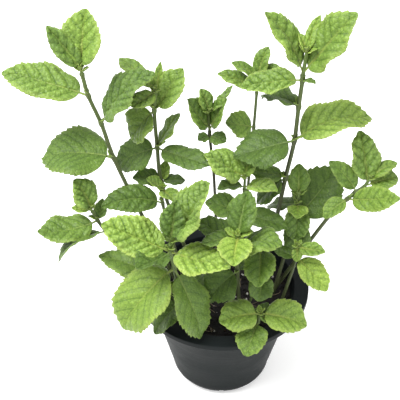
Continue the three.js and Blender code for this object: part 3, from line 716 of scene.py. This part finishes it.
def tip_piece(shoot, looks, rng):
    name, tip = shoot["name"], shoot["tip"]
    along = end_direction(shoot["path"][:tip + 1])
    points = [np.array(p, float) for p in shoot["path"]]
    start = points[tip] - along * 0.5
    end = points[-1] + along * 2.0
    line = curve_points([start] + points[tip + 1:] + [end], 8)
    shape = Shape()
    share = np.linspace(0, 1, len(line))
    radius = shoot["radius"] * (0.95 - 0.35 * share)
    green = STEM_GREEN.get(name, USUAL_GREEN)[1]
    add_stem(shape, line, radius, green + (1 - green) * share, slot=1)
    for (index, leaves), look in zip(shoot["whorls"], looks):
        if index < tip:
            continue
        base = points[index] + along * (3 * GAP + PETIOLE_HALF)
        for leaf, (tone, quilt) in zip(leaves, look):
            add_leaf(shape, leaf, base, tone, quilt, rng, YOUNG_FOLD)
    first = shoot["whorls"][-1][1][0][0]
    bud_size = 4.2 + 2.2 * shoot["radius"]
    bud_tone = min(1, looks[-1][0][0] + 0.25)
    add_bud(shape, points[-1] + along * 1.5, along, first + 90, bud_size, bud_tone, rng)
    return shape.piece(f"tip_{name}_grown", [leaf_look, stem_look], f"tip_{name}")


def shoot_pieces(shoot, seed):
    rng = np.random.default_rng(seed)
    looks = LOOKS[shoot["name"]]
    stem_piece(shoot)
    lower = [pair for pair in zip(shoot["whorls"], looks) if pair[0][0] < shoot["tip"]]
    for number, (whorl, look) in enumerate(lower, start=1):
        whorl_piece(shoot, number, whorl, look, rng)
    tip_piece(shoot, looks, rng)


# ---- pot ----

POT_SEGMENTS = 160
LIP_ROUNDING = 0.7


def rounded(profile, radius, steps=4):
    """The profile with each of its inner corners rounded off."""
    points = [np.array(p, float) for p in profile]
    line = [points[0]]
    for before, corner, after in zip(points, points[1:], points[2:]):
        back, ahead = before - corner, after - corner
        room = min(radius, 0.45 * np.linalg.norm(back), 0.45 * np.linalg.norm(ahead))
        a = corner + back / np.linalg.norm(back) * room
        b = corner + ahead / np.linalg.norm(ahead) * room
        for s in np.linspace(0, 1, steps + 1):
            line.append((1 - s) ** 2 * a + 2 * s * (1 - s) * corner + s * s * b)
    line.append(points[-1])
    return line


def base_corner(inset, steps=10):
    width = POT["shoulder_radius"] - POT["foot_radius"]
    angles = np.linspace(0, math.pi / 2, steps + 1)
    return [(POT["foot_radius"] + (width - inset) * math.sin(angle),
             inset + (POT["shoulder_height"] - inset) * (1 - math.cos(angle))) for angle in angles]


def lathe(profile, segments):
    """A closed solid turned round Z from a profile that starts and ends on the axis."""
    profile = np.array(profile)
    angle = np.linspace(0, 2 * math.pi, segments, endpoint=False)
    rings = profile[1:-1]
    points = np.stack([
        np.outer(rings[:, 0], np.cos(angle)), np.outer(rings[:, 0], np.sin(angle)),
        np.outer(rings[:, 1], np.ones(segments))], axis=-1).reshape(-1, 3)
    points = np.vstack([points, (0, 0, profile[0, 1]), (0, 0, profile[-1, 1])])
    start, end = len(points) - 2, len(points) - 1
    last = (len(rings) - 1) * segments
    faces = []
    for j in range(segments):
        after = (j + 1) % segments
        faces.append((start, after, j))
        faces.append((end, last + j, last + after))
        for i in range(len(rings) - 1):
            a, b = i * segments, (i + 1) * segments
            faces.append((a + j, a + after, b + after, b + j))
    return points, faces


def drain_cutter(number):
    angle = (number + 0.5) / DRAIN["count"] * 2 * math.pi
    bpy.ops.mesh.primitive_cube_add(size=1)
    cutter = bpy.context.object
    size = Matrix.Diagonal((DRAIN["length"] * MM, DRAIN["width"] * MM, DRAIN["depth"] * MM, 1))
    place = Matrix.Translation((DRAIN["radius"] * MM, 0, DRAIN["middle"] * MM))
    cutter.data.transform(Matrix.Rotation(angle, 4, "Z") @ place @ size)
    return cutter


def pot_piece():
    wall, height = POT["wall"], POT["height"]
    rim, neck = POT["rim_radius"], POT["neck_radius"]
    under_lip = height - POT["lip_thickness"]
    skirt_end = height - POT["skirt_drop"]
    inner = [(r, z + POT["floor"] - wall) for r, z in base_corner(wall)][::-1]
    profile = [(0, 0)] + base_corner(0) + rounded([
        base_corner(0)[-1],
        (neck, under_lip),
        (rim - wall, under_lip),
        (rim - wall, skirt_end),
        (rim, skirt_end),
        (rim, height),
        (neck - wall, height),
        inner[0],
    ], LIP_ROUNDING)[1:] + inner[1:] + [(0, POT["floor"])]
    points, faces = lathe(profile, POT_SEGMENTS)
    shape = Shape()
    shape.add(points, faces)
    pot = shape.piece("pot_moulded", [pot_look], "pot", sharp=40)
    for number in range(DRAIN["count"]):
        cutter = drain_cutter(number)
        cut = pot.modifiers.new("drain", "BOOLEAN")
        cut.operation = "DIFFERENCE"
        cut.solver = "EXACT"
        cut.object = cutter
        bpy.context.view_layer.objects.active = pot
        bpy.ops.object.modifier_apply(modifier=cut.name)
        bpy.data.objects.remove(cutter)
    return pot


# ---- soil ----

# How many, how far from the wall, least radius, how much more at most, the power that
# makes small ones common, height of the middle in radii, and 1 for white.
CRUMBS = (1100, 1.5, 0.35, 1.1, 2.5, 0.3, 0)
PERLITE = (70, 2, 0.45, 0.8, 2, 0.25, 1)
FIBRES = 26
SOIL_RINGS = 66
SOIL_SEGMENTS = 150
FIBRE_STEPS = 7
FIBRE_STEP = 1.6


def soil_wall_radius(height):
    low, high = POT["shoulder_height"], POT["height"] - POT["lip_thickness"]
    outside = np.interp(height, (low, high), (POT["shoulder_radius"], POT["neck_radius"]))
    return outside - POT["wall"] - GAP


def soil_height(x, y):
    """The lumpy surface of the soil above a place in the pot."""
    edge = soil_wall_radius(SOIL["edge_height"])
    share = min(1.0, math.hypot(x, y) / edge)
    lumps = noise.noise((x / 17, y / 17, 3.1)) * 1.1 + noise.noise((x / 6, y / 6, 8.7)) * 0.9
    fine = noise.noise((x / 2.3, y / 2.3, 1.3)) * 0.5
    crown = SOIL["crown"] * (1 - share ** 2)
    return SOIL["edge_height"] + crown + (lumps + fine) * (1 - share ** 8)


def lump(radius, rng, detail):
    """An uneven crumb round the origin."""
    points, faces = (fine_ball if detail else plain_ball)
    stretch = rng.uniform(0.6, 1.25, 3)
    rough = 1 + rng.uniform(-0.22, 0.22, len(points))
    turn = Matrix.Rotation(rng.uniform(0, ANY_ANGLE), 3, Vector(rng.normal(size=3)))
    return (points * rough[:, None] * stretch * radius) @ np.array(turn), faces


def ball(subdivisions):
    bpy.ops.mesh.primitive_ico_sphere_add(subdivisions=subdivisions, radius=1)
    obj = bpy.context.object
    points = np.array([v.co for v in obj.data.vertices])
    faces = [tuple(p.vertices) for p in obj.data.polygons]
    bpy.data.objects.remove(obj)
    return points, faces


def scatter(rng, edge):
    """A place in the pot, evenly over its area."""
    radius = edge * math.sqrt(rng.uniform())
    angle = rng.uniform(0, 2 * math.pi)
    return radius * math.cos(angle), radius * math.sin(angle)


def soil_piece():
    rng = np.random.default_rng(SOIL_SEED)
    floor, top = POT["floor"], SOIL["edge_height"]
    edge, low = soil_wall_radius(top), POT["shoulder_height"] + floor
    rings = [(0, floor + GAP), (POT["foot_radius"] - 1, floor + GAP),
             (soil_wall_radius(low) - 1, low), (edge, top)]
    rings += [(edge * r, top) for r in np.linspace(0.985, 0.01, SOIL_RINGS)] + [(0, top)]
    points, faces = lathe(rings, SOIL_SEGMENTS)
    for point in points:
        if point[2] >= top - 0.01:
            point[2] = soil_height(point[0], point[1])
    shape = Shape()
    shape.add(points, faces)
    for count, inset, least, more, power, lifted, white in (CRUMBS, PERLITE):
        for _ in range(count):
            x, y = scatter(rng, edge - inset)
            radius = least + more * rng.uniform() ** power
            points, faces = lump(radius, rng, white or radius > 0.8)
            points += (x, y, soil_height(x, y) + radius * lifted)
            shape.add(points, faces, tone=white, chance=rng.uniform(), dome=0.5 * (1 - white))
    for _ in range(FIBRES):
        x, y = scatter(rng, edge - 8)
        heading = rng.uniform(0, ANY_ANGLE)
        line = []
        for _ in range(FIBRE_STEPS):
            line.append((x, y, soil_height(x, y) + 0.35 + 0.5 * rng.uniform()))
            heading += rng.uniform(-0.6, 0.6)
            x += math.cos(heading) * FIBRE_STEP
            y += math.sin(heading) * FIBRE_STEP
        curve = curve_points(line, 3)
        rings = sweep(curve, np.full(len(curve), rng.uniform(0.12, 0.25)))[:, ::4]
        faces = tube_faces(len(curve), AROUND // 4)
        shape.add(rings.reshape(-1, 3), faces, edge=1, chance=rng.uniform())
    return shape.piece("potting_soil_crumbly", [soil_look], "potting_soil")


# ---- materials ----

class Nodes:
    """Short calls for building one material's node tree."""

    def __init__(self, name):
        self.material = bpy.data.materials.new(name)
        self.material.use_nodes = True
        self.tree = self.material.node_tree
        self.shader = self.tree.nodes["Principled BSDF"]

    def node(self, kind, **settings):
        made = self.tree.nodes.new(kind)
        for key, value in settings.items():
            setattr(made, key, value)
        return made

    def feed(self, socket, value):
        if isinstance(value, bpy.types.NodeSocket):
            self.tree.links.new(value, socket)
        else:
            socket.default_value = value

    def fill(self, made, **sockets):
        for name, value in sockets.items():
            self.feed(made.inputs[name.replace("_", " ")], value)

    def value(self, name):
        return self.node("ShaderNodeAttribute", attribute_name=name).outputs["Fac"]

    def place(self, scale):
        source = self.node("ShaderNodeAttribute", attribute_name="place").outputs["Vector"]
        mapped = self.node("ShaderNodeMapping")
        self.fill(mapped, Vector=source, Scale=scale)
        return mapped.outputs["Vector"]

    def noise(self, vector, scale, detail=3.0, roughness=0.55):
        made = self.node("ShaderNodeTexNoise")
        self.fill(made, Vector=vector, Scale=scale, Detail=detail, Roughness=roughness)
        return made.outputs["Fac"]

    def cell_walls(self, vector, scale):
        made = self.node("ShaderNodeTexVoronoi", feature="DISTANCE_TO_EDGE")
        self.fill(made, Vector=vector, Scale=scale)
        return made.outputs["Distance"]

    def math(self, operation, a, b=0.0, clamp=False):
        made = self.node("ShaderNodeMath", operation=operation, use_clamp=clamp)
        self.feed(made.inputs[0], a)
        self.feed(made.inputs[1], b)
        return made.outputs[0]

    def spread(self, value, low, high, to_low=0.0, to_high=1.0):
        made = self.node("ShaderNodeMapRange", clamp=True)
        self.fill(made, Value=value, From_Min=low, From_Max=high, To_Min=to_low, To_Max=to_high)
        return made.outputs["Result"]

    def mix(self, factor, a, b, kind="MIX"):
        made = self.node("ShaderNodeMix", data_type="RGBA", blend_type=kind)
        self.feed(made.inputs["Factor"], factor)
        for socket, colour in ((made.inputs[6], a), (made.inputs[7], b)):
            self.feed(socket, colour if isinstance(colour, bpy.types.NodeSocket) else (*colour, 1))
        return made.outputs[2]

    def ramp(self, value, stops):
        made = self.node("ShaderNodeValToRGB")
        ramp = made.color_ramp
        while len(ramp.elements) < len(stops):
            ramp.elements.new(0.5)
        for element, (at, colour) in zip(ramp.elements, stops):
            element.position = at
            element.color = (*colour, 1)
        self.feed(made.inputs["Fac"], value)
        return made.outputs["Color"]

    def relief(self, height, strength, distance, under=None):
        made = self.node("ShaderNodeBump")
        self.fill(made, Strength=strength, Distance=distance * MM, Height=height)
        if under is not None:
            self.feed(made.inputs["Normal"], under)
        return made.outputs["Normal"]

    def set(self, **sockets):
        self.fill(self.shader, **sockets)


def leaf_material():
    """Quilted mint leaf: bright young tissue, darker old tissue, pale ribs and underside, painted
    shade in its creases and a painted highlight on its domes.
    """
    n = Nodes("mint_leaf")
    tone = n.value("tone")
    wander = n.noise(n.place((0.06, 0.09, 1)), 1.0, 3.0)
    speckle = n.noise(n.place((0.9, 0.9, 1)), 1.0, 3.0)
    walls = n.cell_walls(n.place((1, 1, 1)), 0.52)
    patch = n.math("MULTIPLY", n.math("SUBTRACT", wander, 0.5), 0.5)
    age = n.math("ADD", tone, patch, clamp=True)
    tissue = n.ramp(age, [
        (0.0, (0.053, 0.094, 0.015)),
        (0.3, (0.078, 0.136, 0.020)),
        (0.6, (0.130, 0.206, 0.031)),
        (1.0, (0.212, 0.310, 0.044)),
    ])
    # painted shade: the sunken side veins and the net between the cells are darkened as if shade
    # fell into these creases, more strongly on quilted leaves
    vein = n.math("MULTIPLY", n.spread(n.value("vein"), 0.10, 0.85),
                  n.spread(n.value("quilt"), 0.1, 1.0, 0.66, 1.0))
    painted_crease_shade = n.mix(1.0, tissue, (0.27, 0.40, 0.24), "MULTIPLY")
    colour = n.mix(vein, tissue, painted_crease_shade)
    # painted highlight: the domed crests between the veins are lightened as if light caught them
    painted_highlight = n.math("MULTIPLY", n.spread(n.value("dome"), 0.25, 1.0),
                   n.spread(n.value("quilt"), 0.1, 1.0, 0.45, 1.0))
    # painted sheen: on strongly quilted leaves the lightened crests turn pale blue-grey as if
    # light glanced off the hairs
    pale = n.mix(n.value("quilt"), (1.30, 1.30, 1.10), (1.42, 1.38, 2.05))
    colour = n.mix(painted_highlight, colour, n.mix(1.0, colour, pale, "MULTIPLY"))
    # painted shade in the fine cell walls of the skin, in the same dark crease colour
    fine = n.spread(walls, 0.02, 0.16, 0.30, 0.0)
    colour = n.mix(fine, colour, painted_crease_shade)
    rib = n.spread(n.value("rib"), 0.40, 0.95, 0.0, 0.75)
    colour = n.mix(rib, colour, n.mix(tone, (0.140, 0.210, 0.060), (0.310, 0.340, 0.060)))
    edge = n.math("MULTIPLY", n.value("edge"), n.spread(tone, 0.1, 0.9, 0.0, 0.5))
    colour = n.mix(edge, colour, (0.290, 0.350, 0.080))
    under = n.mix(0.55, colour, (0.135, 0.180, 0.070))
    colour = n.mix(n.value("under"), colour, under)
    dapple = n.spread(speckle, 0.3, 0.7, 0.82, 1.16)
    shade = n.node("ShaderNodeCombineColor")
    for socket in shade.inputs[:3]:
        n.feed(socket, dapple)
    colour = n.mix(1.0, colour, shade.outputs[0], "MULTIPLY")
    skin = n.relief(n.spread(walls, 0.0, 0.35), 0.45, 0.45)
    skin = n.relief(speckle, 0.25, 0.35, under=skin)
    rough = n.spread(speckle, 0.25, 0.75, 0.36, 0.56)
    n.set(Base_Color=colour, Roughness=rough, Normal=skin, Specular_IOR_Level=0.24,
          Sheen_Weight=0.03, Sheen_Roughness=0.45, Subsurface_Weight=0.10,
          Subsurface_Radius=(0.8, 1.0, 0.25), Subsurface_Scale=0.0012)
    return n.material


def stem_material():
    """Square stem: purple-brown and olive below, fresh green above, with fine long streaks."""
    n = Nodes("mint_stem")
    streaks = n.noise(n.place((0.10, 1.1, 1.1)), 1.0, 4.0)
    blotch = n.noise(n.place((0.05, 0.2, 0.2)), 1.0, 2.0)
    patch = n.math("MULTIPLY", n.math("SUBTRACT", blotch, 0.5), 0.5)
    age = n.math("ADD", n.value("tone"), patch, clamp=True)
    colour = n.ramp(age, [
        (0.0, (0.024, 0.019, 0.013)),
        (0.3, (0.040, 0.050, 0.018)),
        (0.6, (0.068, 0.100, 0.026)),
        (1.0, (0.130, 0.205, 0.044)),
    ])
    colour = n.mix(n.spread(streaks, 0.45, 0.75, 0.0, 0.45), colour, (0.085, 0.120, 0.036))
    colour = n.mix(n.math("MULTIPLY", n.value("edge"), 0.3), colour, (0.075, 0.085, 0.032))
    skin = n.relief(streaks, 0.35, 0.3)
    rough = n.spread(streaks, 0.2, 0.8, 0.42, 0.60)
    n.set(Base_Color=colour, Roughness=rough, Normal=skin, Specular_IOR_Level=0.25,
          Sheen_Weight=0.04)
    return n.material


def soil_material():
    """Damp peat, with white perlite and pale fibres among its crumbs."""
    n = Nodes("potting_soil")
    grain = n.noise(n.place((1, 1, 1)), 0.9, 5.0, 0.7)
    damp = n.noise(n.place((1, 1, 1)), 0.06, 2.0)
    colour = n.ramp(grain, [
        (0.25, (0.0030, 0.0028, 0.0028)),
        (0.55, (0.0085, 0.0072, 0.0066)),
        (0.80, (0.0260, 0.0190, 0.0140)),
    ])
    brown = n.spread(n.value("chance"), 0.80, 1.0, 0.0, 0.65)
    colour = n.mix(brown, colour, (0.045, 0.026, 0.015))
    perlite = n.mix(grain, (0.22, 0.21, 0.19), (0.55, 0.54, 0.50))
    colour = n.mix(n.spread(n.value("tone"), 0.3, 0.7), colour, perlite)
    fibre = n.mix(grain, (0.10, 0.07, 0.04), (0.32, 0.26, 0.18))
    colour = n.mix(n.value("edge"), colour, fibre)
    skin = n.relief(grain, 0.8, 0.9)
    rough = n.spread(damp, 0.35, 0.65, 0.72, 0.95)
    n.set(Base_Color=colour, Roughness=rough, Normal=skin, Specular_IOR_Level=0.18)
    return n.material


def pot_material():
    """Charcoal moulded plastic with a fine grain, faint moulding rings and light scuffs."""
    n = Nodes("pot_plastic")
    grain = n.noise(n.place((1, 1, 1)), 1.6, 3.0)
    cloud = n.noise(n.place((0.03, 0.03, 0.05)), 1.0, 4.0)
    rings = n.noise(n.place((0.004, 0.004, 0.55)), 1.0, 2.0)
    scuff = n.noise(n.place((0.25, 0.25, 1.4)), 1.0, 4.0, 0.7)
    colour = n.mix(n.spread(cloud, 0.3, 0.7), (0.0045, 0.0066, 0.0066), (0.0070, 0.0096, 0.0096))
    colour = n.mix(n.spread(scuff, 0.62, 0.80, 0.0, 0.30), colour, (0.024, 0.025, 0.024))
    colour = n.mix(n.spread(rings, 0.4, 0.7, 0.0, 0.18), colour, (0.018, 0.019, 0.021))
    skin = n.relief(grain, 0.20, 0.25)
    skin = n.relief(rings, 0.10, 0.5, under=skin)
    rough = n.spread(n.math("ADD", n.math("MULTIPLY", cloud, 0.6), n.math("MULTIPLY", scuff, 0.4)),
                     0.35, 0.65, 0.40, 0.58)
    n.set(Base_Color=colour, Roughness=rough, Normal=skin, Specular_IOR_Level=0.075)
    return n.material


def floor_material():
    n = Nodes("studio_floor")
    n.set(Base_Color=(0.90, 0.90, 0.895, 1), Roughness=0.9, Specular_IOR_Level=0.1,
          Emission_Color=(1, 1, 1, 1), Emission_Strength=0.25)
    return n.material


# ---- studio ----

FLOOR_SIZE = 12  # metres, as are the lamps' places and sizes
SKY_STRENGTH = 1.02
LAMP_TARGET = (0, 0, 0.12)
LAMPS = (  # name, place, size, watts
    ("key_light", (-0.55, -0.30, 1.35), 0.8, 34),
    ("fill_light", (0.9, -0.7, 0.8), 1.2, 6),
)


def studio():
    scene = bpy.context.scene
    bpy.ops.mesh.primitive_plane_add(size=FLOOR_SIZE)
    floor = bpy.context.object
    floor.name = "studio_floor"
    floor.data.materials.append(floor_material())

    world = bpy.data.worlds.new("studio")
    world.use_nodes = True
    background = world.node_tree.nodes["Background"]
    background.inputs["Color"].default_value = (1, 1, 1, 1)
    background.inputs["Strength"].default_value = SKY_STRENGTH
    scene.world = world

    for name, place, size, power in LAMPS:
        light = bpy.data.lights.new(name, "AREA")
        light.size = size
        light.energy = power
        lamp = bpy.data.objects.new(name, light)
        lamp.location = place
        aim = Vector(LAMP_TARGET) - Vector(place)
        lamp.rotation_euler = aim.to_track_quat("-Z", "Y").to_euler()
        scene.collection.objects.link(lamp)

    camera = bpy.data.objects.new("photo_camera", bpy.data.cameras.new("photo_camera"))
    camera.location = Vector(CAMERA_PLACE) * MM
    camera.rotation_euler = (math.radians(90 - CAMERA_DOWN), 0, 0)
    camera.data.lens = CAMERA_LENS
    camera.data.sensor_width = SENSOR
    scene.collection.objects.link(camera)
    scene.camera = camera
    scene.view_settings.view_transform = "Standard"


# ---- the whole object ----

leaf_look = leaf_material()
stem_look = stem_material()
soil_look = soil_material()
pot_look = pot_material()
plain_ball, fine_ball = ball(1), ball(2)

pot_piece()
soil_piece()
for seed, shoot in enumerate(SHOOTS, start=FIRST_SHOOT_SEED):
    shoot_pieces(shoot, seed)
studio()
